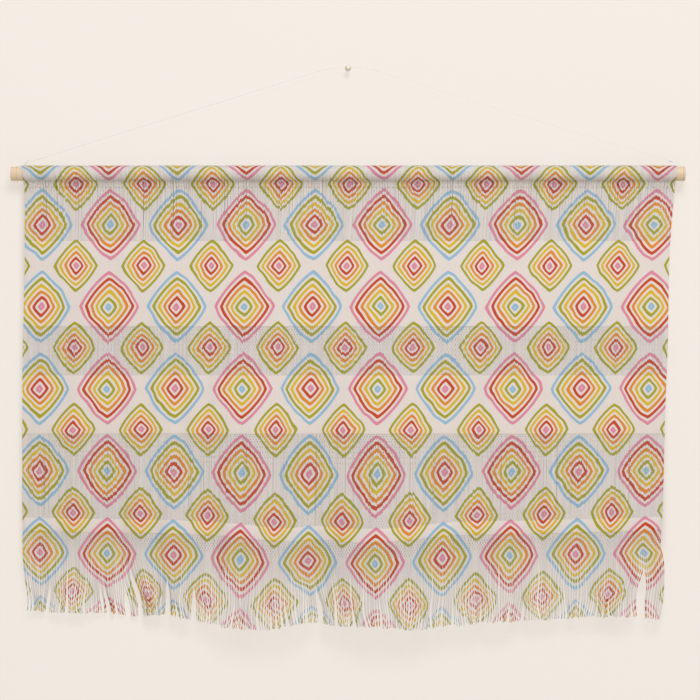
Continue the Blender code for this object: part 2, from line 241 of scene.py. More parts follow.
# Places down the cloth are measured from the sewn line and are negative in the pocket.
# A net is a stretch where the warp yarns lean to one neighbour and the other in turn between the
# weft picks, so that small holes stand in a brick pattern. lean is how far, at its start and its end.
Net = namedtuple("Net", "start end pitch lean_start lean_end")
POCKET_NET = Net(-0.0580, 0.0180, 0.0032, 0.00002, 0.00002)
SEAM_NET = Net(0.0650, 0.0705, 0.0026, 0.00004, 0.00006)
GAUZE_TOP_NET = Net(0.1750, 0.1930, 0.0030, 0.00025, 0.00017)
GAUZE_NET = Net(0.1930, 0.2340, 0.0030, 0.00011, 0.00008)
LADDER_TOP_NET = Net(0.3053, 0.3413, 0.0030, 0.00034, 0.00011)
LADDER_END_NET = Net(0.3900, 0.4080, 0.0030, 0.00016, 0.00014)
HEM_NET = Net(0.4245, 0.4440, 0.0030, 0.00050, 0.00034)

Open = namedtuple("Open", "name start end width wander nets")
WANDER_START = -0.0200  # on the dowel's front
OPEN_BANDS = (
    Open("warp_pocket_band", -0.0745, 0.0702, 0.00160, 0.46, (POCKET_NET, SEAM_NET)),
    Open("warp_gauze_band", 0.1735, 0.2344, 0.00158, 0.16, (GAUZE_TOP_NET, GAUZE_NET)),
    Open("warp_ladder_band", 0.3043, 0.4085, 0.00162, 0.34, (LADDER_TOP_NET, LADDER_END_NET)),
)
LIFT_SPREAD = 0.00020  # how far single yarns stand out of the cloth's face or lie behind it
WIDTH_SPREAD = 0.035
PRINT_SLIP = 0.0006  # how far the print has moved along single yarns

Close = namedtuple("Close", "name start end rows")
RIDGE_OVERLAP = 0.0005
CLOSE_BANDS = (
    Close("close_band_upper", 0.0697, 0.1741, 42),
    Close("close_band_lower", 0.2339, 0.3048, 28),
)
RIDGE_BAND = Close(
    "hem_ridge", THROAT_Z - RIDGE_TOP - RIDGE_OVERLAP, THROAT_Z - RIDGE_BOTTOM + RIDGE_OVERLAP, 9
)

# Steps from one station of a warp yarn to the next
NET_STEP = 0.0015
NET_LEAD = 0.0016  # the fine steps start this far before a net
FAINT_LEAN = 0.0001  # a net that leans less needs no fine steps
POCKET_STEP = 0.0030
LONG_STEP = 0.0058
SHORTEST_STEP = 0.0004
CREASE_START = -0.0090  # of the crease under the dowel
CREASE_END = 0.0015
POCKET_END = 0.0060

# How warp yarns gather, in millimetres where the strength is 1
GATHER_REACH = 10  # neighbours on either side
GATHER_SHARE = 0.36
GATHER_MOST = 1.4
PAIR_SHIFT = 0.22

# A wave is its height, how fast it turns sideways and up or down, in radians a metre, and its start
Wave = namedtuple("Wave", "height across down start")
RIPPLES = (Wave(0.5, 171, 9, 0.0), Wave(0.3, 263, -14, 1.3), Wave(0.2, 97, 0, 2.1))
RIPPLE_AT_TOP = 0.00025
RIPPLE_MORE_AT_HEM = 0.0011
WIDTH_WAVES = (Wave(0.03, 40, 240, 0.0),)
WEFT_SAG = (Wave(0.00035, 38, 900, 0.0), Wave(0.0002, 111, 0, 0.0))
CLOSE_RIBS = (Wave(0.00006, 131, 0, 0.0), Wave(0.00007, 23, 310, 0.0))

FRINGE_TOP_V = THROAT_Z - RIDGE_BOTTOM - 0.0006
FREE_ROWS = 22
FRINGE_WIDTH = 0.00158
FRINGE_DEPTH = 0.0007
MESH_THINNING = 0.95  # the same yarns lie drawn tight in the end mesh
LEAN_STARTS = 0.08  # of the way down the fringe
PARTING = 0.38  # of the fringe's length, over which a slit opens
SLIT_REACH = 0.007  # how far to either side yarns keep to a slit's edge and curl back
SLIT_CURL = 0.0045
MIDDLE_WANDER = 0.80
TIP_WANDER = 3.00
TIP_JITTER = 0.0003
FLARE_SHARE = 0.12  # of how far the hem stands out, by which the tips stand out further
SWING_SPREAD = 0.0006
TIP_SPREAD = 0.0010
LONGEST_TIP = 0.0012  # past the tips' line

# The fringe's yarns sway: how far at the tip, how many waves down the fringe and in a metre across
# it, how much the starts of single yarns differ, and how the sway grows towards the tip
Sway = namedtuple("Sway", "reach down across uneven growth")
SWAYS = (Sway(0.0019, 0.9, 9, 0.15, 1.4), Sway(0.0010, 1.5, -23, 0.25, 1.2))

STITCH_COUNT = 156
STITCH_MARGIN = 0.004
STITCH_HALF = 0.0016
STITCH_PLACE = 0.0034
STITCH_LIFT = 0.0009
STITCH_SIZE = 0.00055

random = np.random.default_rng(7)


def scatter(spread, count=WARP_COUNT):
    """A small random amount for each yarn."""
    return spread * random.standard_normal((count, 1))


def unit(vectors):
    return vectors / np.linalg.norm(vectors, axis=-1, keepdims=True)


def way_along(line):
    """How far along a line each of its points is."""
    return np.concatenate([[0], np.cumsum(np.linalg.norm(np.diff(line, axis=0), axis=1))])


def waves(across, down, rows):
    return sum(row.height * np.sin(row.across * across + row.down * down + row.start) for row in rows)


def ramp(start, end, at):
    t = np.clip((at - start) / (end - start), 0.0, 1.0)
    return t * t * (3 - 2 * t)


def smooth_between(t, span, start, end, start_slope, end_slope):
    """A smooth curve from start to end, at a share t of the span between them."""
    return (
        (2 * t**3 - 3 * t**2 + 1) * start
        + (t**3 - 2 * t**2 + t) * span * start_slope
        + (3 * t**2 - 2 * t**3) * end
        + (t**3 - t**2) * span * end_slope
    )


def smooth_through(rows, key, value):
    """A function of place that runs smoothly through a table's rows."""
    places, values = np.array(sorted((getattr(row, key), getattr(row, value)) for row in rows)).T
    slopes = np.gradient(values, places)

    def at(x):
        x = np.clip(x, places[0], places[-1])
        i = np.clip(np.searchsorted(places, x, side="right") - 1, 0, len(places) - 2)
        span = places[i + 1] - places[i]
        share = (x - places[i]) / span
        return smooth_between(share, span, values[i], values[i + 1], slopes[i], slopes[i + 1])

    return at


left_edge = smooth_through(SIDES, "z", "left")
right_edge = smooth_through(SIDES, "z", "right")
hem_dip = smooth_through(HEM, "x", "dip")
hem_forward = smooth_through(HEM, "x", "forward")
fringe_end = smooth_through(TIPS, "x", "z")


def pocket_line():
    """The cloth's middle line from the sewn line up over the dowel to the turned-in end."""
    line = [(DOWEL_Y - forward, THROAT_Z - below) for forward, below in FRONT_PLY]
    for turn in np.linspace(2 * pi - FRONT_SHOULDER, POCKET_SHOULDER, POCKET_STEPS + 1):
        y = DOWEL_Y + POCKET_LINE_RADIUS * sin(turn)
        z = DOWEL_Z - POCKET_LINE_RADIUS * cos(turn)
        line.append((y, z))
    line += [(DOWEL_Y + behind, THROAT_Z - below) for behind, below in BACK_PLY]
    return np.array(line)


def section_line():
    """The whole middle line with its place down the cloth, negative in the pocket."""
    pocket = pocket_line()
    below = np.linspace(*PANEL_SPAN, PANEL_STEPS)
    level = np.full(PANEL_STEPS, DOWEL_Y - PLY_HALF)
    straight = np.stack([level, THROAT_Z - FRONT_START - below], axis=1)
    places = np.concatenate([-way_along(pocket)[::-1], below]) + FRONT_START
    return places, np.concatenate([pocket[::-1], straight])


SECTION_PLACES, SECTION_POINTS = section_line()
SECTION_ALONG = unit(np.gradient(SECTION_POINTS, SECTION_PLACES, axis=0))


def stand_out(x, z):
    """How far the cloth stands forward at a place, for its hem and its folds."""
    share = np.clip((THROAT_Z - z) / (THROAT_Z - PANEL_BOTTOM), 0, None)
    out = hem_forward(x) * share**HEM_BEND
    for fold in FOLDS:
        beside = ramp(1, 0, np.abs(x - fold.x) / fold.half_width)
        out = out + fold.depth * beside * ramp(fold.top, PANEL_BOTTOM, z)
    return out


def ripple(x, z):
    """Small uneven waves of the cloth, a fraction of a millimetre at the top and more near the hem."""
    share = ramp(THROAT_Z, PANEL_BOTTOM, z)
    return (RIPPLE_AT_TOP + RIPPLE_MORE_AT_HEM * share) * waves(x, z, RIPPLES)


def hung(across, place, lift):
    """Points in space for places on the flat cloth: across it, down it, and out of its face."""
    y, z = (np.interp(place, SECTION_PLACES, values) for values in SECTION_POINTS.T)
    along_y, along_z = (np.interp(place, SECTION_PLACES, values) for values in SECTION_ALONG.T)
    share = (across + FLAT_HALF) / (2 * FLAT_HALF)
    x = left_edge(z) + (right_edge(z) - left_edge(z)) * share
    below = z < THROAT_Z
    out = np.where(below, stand_out(x, z) + ripple(x, z), 0.0)
    dip = np.where(below, hem_dip(x) * ramp(DIP_STARTS, RIDGE_TOP, z), 0.0)
    return np.stack([x, y + along_z * lift - out, z - along_y * lift - dip], axis=-1)


def outward(across, place):
    """The cloth's outward direction at places on it."""
    return unit(hung(across, place, 0.001) - hung(across, place, 0.0))


def on_cloth(across, place):
    """The print's coordinates of places on the flat cloth."""
    return np.stack(np.broadcast_arrays(across, place, 0.0), axis=-1)


def placed(name, data):
    """A new object in the scene."""
    made = bpy.data.objects.new(name, data)
    bpy.context.scene.collection.objects.link(made)
    return made


def hanging_piece(name, data, finish):
    """A new object of one material that moves with the hanging."""
    data.materials.append(finish)
    made = placed(name, data)
    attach(made, "root")
    return made


def store(mesh, name, values):
    """Keep a value or a vector for each point of a mesh."""
    kind, field = ("FLOAT", "value") if values.ndim == 1 else ("FLOAT_VECTOR", "vector")
    attribute = mesh.attributes.new(name, kind, "POINT")
    attribute.data.foreach_set(field, values.astype(np.float32).ravel())


def add_mesh(name, points, faces, flat, back, uv, finish, sharp_angle, yarn=None):
    """A mesh with the print's coordinates (flat), the share of the back face, and a map for baking."""
    sizes = np.array([len(face) for face in faces])
    corners = np.concatenate(faces)
    mesh = bpy.data.meshes.new(name)
    mesh.vertices.add(len(points))
    mesh.vertices.foreach_set("co", points.astype(np.float32).ravel())
    mesh.loops.add(len(corners))
    mesh.loops.foreach_set("vertex_index", corners.astype(np.int32))
    mesh.polygons.add(len(sizes))
    mesh.polygons.foreach_set("loop_start", (np.cumsum(sizes) - sizes).astype(np.int32))
    mesh.polygons.foreach_set("use_smooth", np.ones(len(sizes), bool))
    mesh.update(calc_edges=True)
    store(mesh, "flat", flat)
    store(mesh, "back", back)
    if yarn is not None:
        store(mesh, "yarn", yarn)
    layer = mesh.uv_layers.new(name="OFBake")
    layer.data.foreach_set("uv", uv.astype(np.float32).ravel())
    mesh.set_sharp_from_angle(angle=sharp_angle)
    return hanging_piece(name, mesh, finish)


def bake_map(flat, back_face, corners, start, end):
    """Where a corner lies in the baked picture: in its first half for the back, else in the second."""
    u = (flat[corners, 0] + FLAT_HALF + BAKE_MARGIN) / (2 * (FLAT_HALF + BAKE_MARGIN))
    v = np.clip((flat[corners, 1] - start) / (end - start), 0, 1) * 0.48 + 0.01
    return np.stack([u, v + np.where(back_face, 0.0, 0.5)], axis=-1)


def tube_faces(count, rows, sides):
    """The faces along the tubes, as (tube, row, side, corner), and the faces that close their ends."""
    a = np.arange(count * rows * sides).reshape(count, rows, sides)
    beside = np.roll(a, -1, axis=2)
    quads = np.stack([a[:, :-1], beside[:, :-1], beside[:, 1:], a[:, 1:]], axis=-1)
    return quads, np.concatenate([a[:, 0, ::-1], a[:, -1]])


def tubes(name, centres, normals, widths, depths, flat, finish, span, yarn, sides=4):
    """Many flattened yarns as one mesh. centres, normals and flat are (yarn, station, 3)."""
    count, rows, _ = centres.shape
    widths, depths = (np.broadcast_to(size, (count, rows))[..., None] for size in (widths, depths))
    across = unit(np.cross(unit(np.gradient(centres, axis=1)), normals))
    turns = 2 * pi * np.arange(sides) / sides
    broadened = np.sign(np.cos(turns)) * np.abs(np.cos(turns)) ** 0.5
    flattened = np.sign(np.sin(turns)) * np.abs(np.sin(turns)) ** 0.7
    ring_across = across[:, :, None] * (widths / 2 * broadened)[..., None]
    ring_out = normals[:, :, None] * (depths / 2 * flattened)[..., None]
    points = (centres[:, :, None] + ring_across + ring_out).reshape(-1, 3)
    upright = np.where(np.abs(across[..., :1]) > 0.5, np.sign(across[..., :1]), 0.0)
    print_at = np.repeat(flat[:, :, None, :], sides, axis=2)
    print_at[..., 0] += upright * widths / 2 * broadened
    print_at = print_at.reshape(-1, 3)
    back = np.tile(np.clip(0.1 - flattened, 0, 1), count * rows)
    quads, caps = tube_faces(count, rows, sides)
    side_back = (flattened + np.roll(flattened, -1)) / 2 < 0
    quad_back = np.broadcast_to(side_back, quads.shape[:-1]).ravel()
    quads = quads.reshape(-1, 4)
    corners = np.concatenate([quads.ravel(), caps.ravel()])
    corner_back = np.concatenate([np.repeat(quad_back, 4), np.zeros(caps.size, bool)])
    uv = bake_map(print_at, corner_back, corners, *span)
    each = np.repeat(yarn, rows * sides)
    return add_mesh(name, points, [*quads, *caps], print_at, back, uv, finish, YARN_EDGE, each)


def wandering(strength):
    """How far each warp yarn lies from its even place: yarns close up and leave uneven gaps."""
    walk = np.cumsum(random.exponential(1.0, WARP_COUNT) - 1.0)
    kernel = np.hanning(2 * GATHER_REACH + 1)
    steady = np.convolve(np.pad(walk, GATHER_REACH, mode="edge"), kernel / kernel.sum(), mode="valid")
    gathered = np.clip(GATHER_SHARE * (walk - steady), -GATHER_MOST, GATHER_MOST)[:, None]
    return strength * 0.001 * (gathered + np.where(ODD_YARNS, -PAIR_SHIFT, PAIR_SHIFT))


def stations(start, end, nets):
    """Places along a warp yarn: close together in a net and round the pocket, else wide apart."""
    holed = [net for net in nets if net.lean_start > FAINT_LEAN]
    made = [start]
    while made[-1] < end - SHORTEST_STEP:
        at = made[-1]
        step = POCKET_STEP if at < POCKET_END else LONG_STEP
        if CREASE_START < at < CREASE_END or any(net.start - NET_LEAD <= at < net.end for net in holed):
            step = NET_STEP
        made.append(min(at + step, end))
    return np.array(made)


def lean(places, nets):
    """How far each yarn leans sideways: neighbours lean towards each other and apart in turn."""
    leaning = np.zeros((WARP_COUNT, len(places)))
    parity = np.where(ODD_YARNS, 1.0, -1.0)
    for net in nets:
        inside = (places >= net.start) & (places <= net.end)
        share = (places - net.start) / (net.end - net.start)
        reach = (net.lean_start + (net.lean_end - net.lean_start) * share) * inside
        uneven = 0.75 + 0.5 * random.random((WARP_COUNT, 1))
        leaning += parity * reach * uneven * np.cos(pi * (places - net.start) / net.pitch)
    return leaning


def hole_patches(band):
    """How clear a band's small holes are at each yarn: clearest about its middle, and in patches."""
    share = np.linspace(0, 1, WARP_COUNT)[:, None]
    middle = np.sin(pi * share) ** 2
    large = np.sin(2 * pi * (4.3 * share + 3 * band.start))
    small = np.sin(2 * pi * (9.7 * share - band.start))
    return 0.62 + 0.64 * middle + 0.36 * (large + 0.6 * small)


def warp_yarns(band, finish):
    """The warp yarns of one open band. They hold their places at its two edges and wander between."""
    places = stations(band.start, band.end, band.nets)
    top = max(band.start, WANDER_START)
    share = np.clip((places - top) / (band.end - top), 0, 1)
    swell = np.sin(pi * share) ** 0.6
    skew = np.sin(2 * pi * share)
    first = wandering(band.wander)
    second = wandering(band.wander)
    leaning = lean(places, band.nets) * hole_patches(band)
    across = WARP_PLACES + first * swell + 0.5 * second * skew + leaning
    centres = hung(across, places, scatter(LIFT_SPREAD) * swell)
    normals = outward(across, places)
    widths = band.width * (1 + scatter(WIDTH_SPREAD)) * (1 + waves(across, places, WIDTH_WAVES))
    flat = on_cloth(WARP_PLACES, places + scatter(PRINT_SLIP) * swell)
    yarn = random.random(WARP_COUNT)
    span = (band.start, band.end)
    return tubes(band.name, centres, normals, widths, WARP_DEPTH, flat, finish, span, yarn)


def weft_yarns(name, nets, finish):
    """Thin weft picks that pass over and under pairs of warp yarns."""
    rows = np.concatenate([np.arange(net.start + net.pitch / 2, net.end, net.pitch) for net in nets])
    pairs = np.linspace(-FLAT_HALF, FLAT_HALF, WARP_COUNT // 2 + 1)
    across, place = np.meshgrid(pairs, rows)
    place = place + waves(across, place, WEFT_SAG)
    over = np.add.outer(np.arange(len(rows)), np.arange(len(pairs))) % 2
    lift = np.where(over, 1.0, -1.0) * (WARP_DEPTH / 2 + WEFT_DEPTH / 2 - WEFT_PRESS)
    centres = hung(across, place, lift)
    normals = outward(across, place)
    flat = on_cloth(across, place)
    yarn = random.random(len(rows))
    span = (rows.min() - 0.001, rows.max() + 0.001)
    return tubes(name, centres, normals, WEFT_WIDTH, WEFT_DEPTH, flat, finish, span, yarn)


def close_half(share):
    """Half the thickness of a close band, from its top at 0 to its bottom at 1."""
    return CLOSE_HALF * (1 - 0.35 * (2 * share - 1) ** 8)


def ridge_half(share):
    """Half the thickness of the ridge, which is rounder."""
    return RIDGE_HALF * (1 - 0.6 * np.abs(2 * share - 1) ** 3)


def close_sheet(band, half_at, finish):
    """A closely woven band as one thin closed sheet. half_at gives half its thickness."""
    share = np.linspace(0, 1, band.rows)
    places = band.start + (band.end - band.start) * share
    place, sideways = np.meshgrid(places, np.linspace(-1, 1, CLOSE_COLUMNS + 1), indexing="ij")
    edge = np.clip((1 - np.abs(sideways)) * FLAT_HALF / RIM_WIDTH, 0, 1) ** 0.5
    across = sideways * (FLAT_HALF - RIM_INSET)
    half = half_at(share)[:, None] * (RIM_SHARE + (1 - RIM_SHARE) * edge)
    rib = waves(across, place, CLOSE_RIBS)
    both = [hung(across, place, half + rib), hung(across, place, -half + rib)]
    points = np.concatenate(both).reshape(-1, 3)
    flat = np.tile(on_cloth(across, place).reshape(-1, 3), (2, 1))
    count = place.size
    back = np.repeat([0.0, 1.0], count)
    a = np.arange(count).reshape(place.shape)
    grid = np.stack([a[:-1, :-1], a[1:, :-1], a[1:, 1:], a[:-1, 1:]], axis=-1).reshape(-1, 4)
    rim = np.concatenate([a[0], a[1:, -1], a[-1, -2::-1], a[-2::-1, 0]])
    rim_faces = np.stack([rim[:-1], rim[1:], rim[1:] + count, rim[:-1] + count], axis=-1)
    faces = np.concatenate([grid, grid[:, ::-1] + count, rim_faces])
    is_back = np.repeat([False, True, False], [len(grid), len(grid), len(rim_faces)])
    uv = bake_map(flat, np.repeat(is_back, 4), faces.ravel(), band.start, band.end)
    return add_mesh(band.name, points, faces, flat, back, uv, finish, SHEET_EDGE)


def towards_tips(root_x):
    """For roots: where each tip ends, how far the fringe leans there, where it parts, and how near
    a slit is, from 0 for far to 1 for at its edge."""
    roots, parts, left, right = np.transpose(SLITS)
    number = np.clip(np.searchsorted(roots, root_x) - 1, 0, len(SLITS) - 2)
    share = (root_x - roots[number]) / (roots[number + 1] - roots[number])
    tip_x = right[number] + (left[number + 1] - right[number]) * share
    lean_at = np.interp(root_x, roots, (left + right) / 2 - roots)
    parts_at = np.interp(root_x, roots, parts)
    nearest = np.abs(root_x - roots[1:-1]).min(axis=1, keepdims=True)
    return tip_x, lean_at, parts_at, np.exp(-((nearest / SLIT_REACH) ** 2))


def free_fringe(roots, level):
    """The middle lines of the fringe below the end mesh: (yarn, station, 3)."""
    root_x, root_y, root_z = np.moveaxis(roots, -1, 0)
    tip_x, lean_at, parts_at, nearness = towards_tips(root_x)
    belly = np.sin(pi * level**0.8)
    loose = 1 - 0.85 * nearness
    x = root_x + lean_at * np.clip((level - LEAN_STARTS) / (1 - LEAN_STARTS), 0, 1)
    x = x + (tip_x - root_x - lean_at) * ramp(parts_at, parts_at + PARTING, level)
    x = x + RIGHT_LOCK_BOW * ramp(*RIGHT_LOCK_EDGE, root_x) * belly
    x = x + loose * wandering(MIDDLE_WANDER) * belly
    x = x + loose * wandering(TIP_WANDER) * level**2
    for sway in SWAYS:
        turn = 2 * pi * (sway.down * level + sway.across * root_x) + scatter(sway.uneven)
        x = x + sway.reach * np.sin(turn) * level**sway.growth
    x = x + scatter(TIP_JITTER) * ramp(0.8, 1.0, level)
    flare = FLARE_SHARE * stand_out(root_x, PANEL_BOTTOM) + scatter(SWING_SPREAD)
    curl = SLIT_CURL * nearness * ramp(parts_at, 1.0, level)
    y = root_y - flare * level**1.3 + curl
    shorter = np.abs(scatter(TIP_SPREAD)) + np.abs(wandering(1.5))
    end_z = fringe_end(tip_x) + LONGEST_TIP - shorter
    z = root_z + (end_z - root_z) * level
    return np.stack([x, y, z], axis=-1)


def facing(centres):
    """The outward direction of a layer of yarns that lie side by side."""
    side = np.gradient(centres, axis=0)
    along = np.gradient(centres, axis=1)
    normals = np.cross(side, along)
    normals = unit(-np.sign(normals[..., 1:2]) * normals)
    return unit(0.6 * normals + np.array([0.0, -0.4, 0.0]))


def fringe_thinning(mesh_rows, level):
    """How thick the fringe's yarns are at each station, 1 for their full thickness."""
    share = np.interp(WARP_PLACES, *np.transpose(THIN_PARTS))
    free = 1 - (0.08 + 0.32 * share) * level**1.5 - 0.12 * level**4
    return np.concatenate([np.full((WARP_COUNT, mesh_rows), MESH_THINNING), free], axis=1)


def fringe_yarns(finish):
    """Each warp yarn from under the ridge through the end mesh and on as fringe."""
    root_place = THROAT_Z - PANEL_BOTTOM
    mesh_places = stations(FRINGE_TOP_V, root_place, (HEM_NET,))
    mesh_rows = len(mesh_places)
    mesh_part = hung(WARP_PLACES + lean(mesh_places, (HEM_NET,)), mesh_places, 0.0)
    roots = hung(WARP_PLACES, root_place, 0.0)
    level = np.linspace(0, 1, FREE_ROWS + 1)[1:]
    centres = np.concatenate([mesh_part, free_fringe(roots, level)], axis=1)
    thinning = fringe_thinning(mesh_rows, level)
    widths = FRINGE_WIDTH * thinning * (1 + scatter(0.05))
    depths = FRINGE_DEPTH * thinning
    down = FRINGE_TOP_V + way_along(centres.mean(axis=0))
    slip = (scatter(0.0004) + wandering(0.80)) * np.concatenate([np.zeros(mesh_rows), level])
    flat = on_cloth(WARP_PLACES, down + slip)
    span = (FRINGE_TOP_V - 0.002, down[-1] + 0.006)
    yarn = random.random(WARP_COUNT)
    normals = facing(centres)
    return tubes("fringe_yarns", centres, normals, widths, depths, flat, finish, span, yarn)


def stitches(finish):
    """The running stitch that closes the pocket, a little below the dowel."""
    reach = FLAT_HALF - STITCH_MARGIN
    steps = np.linspace(-1, 1, 6)
    across = np.linspace(-reach, reach, STITCH_COUNT)[:, None] + STITCH_HALF * steps
    place = STITCH_PLACE + scatter(0.0002, STITCH_COUNT)
    lift = STITCH_LIFT - 0.0010 * np.abs(steps) ** 3
    centres = hung(across, place, lift)
    normals = outward(across, place)
    flat = on_cloth(across, place)
    yarn = random.random(STITCH_COUNT)
    size = STITCH_SIZE
    span = (0.0, 0.008)
    return tubes("pocket_stitches", centres, normals, size, size, flat, finish, span, yarn, sides=5)


# Materials


class Nodes:
    """Short ways to build a node tree."""

    def __init__(self, name):
        self.material = bpy.data.materials.new(name)
        self.material.use_nodes = True
        self.tree = self.material.node_tree
        self.shader = self.tree.nodes["Principled BSDF"]

    def add(self, kind, **values):
        node = self.tree.nodes.new(kind)
        for key, value in values.items():
            setattr(node, key, value)
        return node

    def link(self, out, into):
        self.tree.links.new(out, into)

    def math(self, operation, a, b=None, clamp=False):
        node = self.add("ShaderNodeMath", operation=operation, use_clamp=clamp)
        for socket, value in zip(node.inputs, (a, b)):
            if value is None:
                continue
            if isinstance(value, (int, float)):
                socket.default_value = value
            else:
                self.link(value, socket)
        return node.outputs[0]

    def attribute(self, name, output="Fac"):
        return self.add("ShaderNodeAttribute", attribute_name=name).outputs[output]

    def place(self):
        return self.add("ShaderNodeTexCoord").outputs["Object"]

    def parts(self, vector):
        node = self.add("ShaderNodeSeparateXYZ")
        self.link(vector, node.inputs[0])
        return node.outputs

    def noise(self, vector, scale, detail=2.0, roughness=0.5):
        node = self.add("ShaderNodeTexNoise")
        node.inputs["Scale"].default_value = scale
        node.inputs["Detail"].default_value = detail
        node.inputs["Roughness"].default_value = roughness
        self.link(vector, node.inputs["Vector"])
        return node.outputs["Fac"]

    def stretched(self, vector, scale):
        node = self.add("ShaderNodeVectorMath", operation="MULTIPLY")
        self.link(vector, node.inputs[0])
        node.inputs[1].default_value = scale
        return node.outputs[0]

    def mix(self, share, a, b, blend="MIX"):
        node = self.add("ShaderNodeMix", data_type="RGBA", blend_type=blend)
        for socket, value in zip((node.inputs[0], node.inputs[6], node.inputs[7]), (share, a, b)):
            if isinstance(value, (int, float)):
                socket.default_value = value
            elif isinstance(value, tuple):
                socket.default_value = (*value, 1.0)
            else:
                self.link(value, socket)
        return node.outputs[2]

    def bump(self, height, strength, distance):
        node = self.add("ShaderNodeBump")
        node.inputs["Strength"].default_value = strength
        node.inputs["Distance"].default_value = distance
        self.link(height, node.inputs["Height"])
        self.link(node.outputs[0], self.shader.inputs["Normal"])


def linear(red, green, blue):
    """A colour given as it looks on a screen, 0 to 255."""
    made = []
    for value in (red, green, blue):
        value /= 255
        made.append(value / 12.92 if value < 0.04045 else ((value + 0.055) / 1.055) ** 2.4)
    return tuple(made)


GROUND = linear(227, 216, 209)
PINK = linear(220, 138, 160)
RED = linear(198, 72, 42)
ORANGE = linear(222, 140, 46)
YELLOW = linear(218, 182, 44)
OLIVE = linear(166, 162, 42)
BLUE = linear(150, 186, 210)
LARGE_COLOURS = (PINK, RED, ORANGE, YELLOW, OLIVE, BLUE)
SMALL_COLOURS = LARGE_COLOURS[:-1]

# Painted shade: the single yarns are painted a little cooler, and darker in yarn_material, for the
# shade between their fibres.
OPEN_SHADE_TINT = (0.955, 0.985, 1.0)  # the open bands look a little cooler
NO_TINT = (1.0, 1.0, 1.0)

LOZENGE_WIDTH = 0.0840  # of the printed repeat
LOZENGE_HEIGHT = 0.1000
LOZENGE_POWER = 1.22  # 1 for straight sides and 2 for round ones
RING_START = 0.0006
RING_PITCH = 0.0066
SMALL_RING_PITCH = 0.0058
STROKE_SHARE = 0.55
WOBBLE = 0.0042


def lozenge_distance(n, across, down, offset):
    """How far a place is from the nearest lozenge's middle, measured so that rings are lozenges."""
    terms = []
    for value, size in ((across, LOZENGE_WIDTH), (down, LOZENGE_HEIGHT)):
        cell = n.math("ADD", n.math("DIVIDE", value, size), offset)
        centred = n.math("ABSOLUTE", n.math("SUBTRACT", n.math("FRACT", cell), 0.5))
        terms.append(n.math("POWER", n.math("MULTIPLY", centred, LOZENGE_WIDTH), LOZENGE_POWER))
    return n.math("POWER", n.math("ADD", *terms), 1 / LOZENGE_POWER)


def ring_ramp(n, distance, colours, pitch):
    """The colour of the rings round a middle, from the innermost out, with the ground between."""
    reach = RING_START + len(colours) * pitch + 0.002
    ramp_node = n.add("ShaderNodeValToRGB")
    n.link(n.math("DIVIDE", distance, reach), ramp_node.inputs[0])
    bands = ramp_node.color_ramp
    bands.interpolation = "CONSTANT"
    bands.elements[0].color = (*GROUND, 1.0)
    bands.elements.remove(bands.elements[1])
    for k, colour in enumerate(colours):
        start = (RING_START + k * pitch) / reach
        bands.elements.new(start).color = (*colour, 1.0)
        bands.elements.new(start + pitch * STROKE_SHARE / reach).color = (*GROUND, 1.0)
    return ramp_node.outputs[0]


def printed_colour(n, flat):
    """The printed pattern: nested lozenges in straight rows with small ones between them."""
    wobble = n.add("ShaderNodeTexNoise", noise_dimensions="2D")
    wobble.inputs["Scale"].default_value = 42.0
    wobble.inputs["Detail"].default_value = 1.5
    n.link(flat, wobble.inputs["Vector"])
    shift = n.math("MULTIPLY", n.math("SUBTRACT", wobble.outputs["Fac"], 0.5), WOBBLE)
    parts = n.parts(flat)
    across = n.math("ADD", parts[0], shift)
    down = n.math("SUBTRACT", parts[1], shift)
    large = lozenge_distance(n, across, down, 0.0)
    small = lozenge_distance(n, across, down, 0.5)
    large_colour = ring_ramp(n, large, LARGE_COLOURS[::-1], RING_PITCH)
    inverse_colour = ring_ramp(n, large, LARGE_COLOURS, RING_PITCH)
    small_colour = ring_ramp(n, small, SMALL_COLOURS, SMALL_RING_PITCH)
    column = n.math("FRACT", n.math("DIVIDE", across, 2 * LOZENGE_WIDTH))
    large_colour = n.mix(n.math("GREATER_THAN", column, 0.5), large_colour, inverse_colour)
    outside = n.math("GREATER_THAN", large, RING_START + len(LARGE_COLOURS) * RING_PITCH)
    return n.mix(outside, large_colour, small_colour)


def cloth_shade(n, flat, fuzz):
    """Fine and wide differences in the cloth's lightness."""
    cloud = n.noise(flat, 14.0, 2.0)
    return n.math("ADD", n.math("MULTIPLY", fuzz, 0.10), n.math("MULTIPLY", cloud, 0.05))


def set_cloth(n, flat, shade, tint):
    """Give a material the print, paler on the back, and the cloth's dull surface."""
    colour = printed_colour(n, flat)
    faded = n.mix(0.72, colour, GROUND)
    colour = n.mix(n.math("MULTIPLY", n.attribute("back"), 0.9), colour, faded)
    grey = n.add("ShaderNodeCombineColor")
    for socket, share in zip(grey.inputs[:3], tint):
        n.link(n.math("MULTIPLY", shade, share), socket)
    n.link(n.mix(1.0, colour, grey.outputs[0], "MULTIPLY"), n.shader.inputs["Base Color"])
    n.shader.inputs["Roughness"].default_value = 0.92
    n.shader.inputs["Specular IOR Level"].default_value = 0.22
    n.shader.inputs["Sheen Weight"].default_value = 0.18
    n.shader.inputs["Sheen Roughness"].default_value = 0.5


def cloth_fuzz(n, flat):
    return n.noise(n.stretched(flat, (900.0, 260.0, 1.0)), 1.0, 3.0, 0.6)


def yarn_material():
    """Single warp and weft yarns: each a little lighter or darker, all painted darker and cooler than
    the close bands as shade between their fibres, with fibres along it.
    """
    n = Nodes("printed_yarn")
    flat = n.attribute("flat", "Vector")
    shade = cloth_shade(n, flat, cloth_fuzz(n, flat))
    shade = n.math("ADD", shade, n.math("MULTIPLY", n.attribute("yarn"), 0.09))
    # Painted shade: 0.815 against the close bands' 0.925 darkens the single yarns for the shade between
    # their fibres.
    set_cloth(n, flat, n.math("ADD", shade, 0.815), OPEN_SHADE_TINT)
    fibre = n.noise(n.stretched(flat, (2600.0, 210.0, 1.0)), 1.0, 3.0, 0.6)
    n.bump(fibre, 0.55, 0.00025)
    return n.material


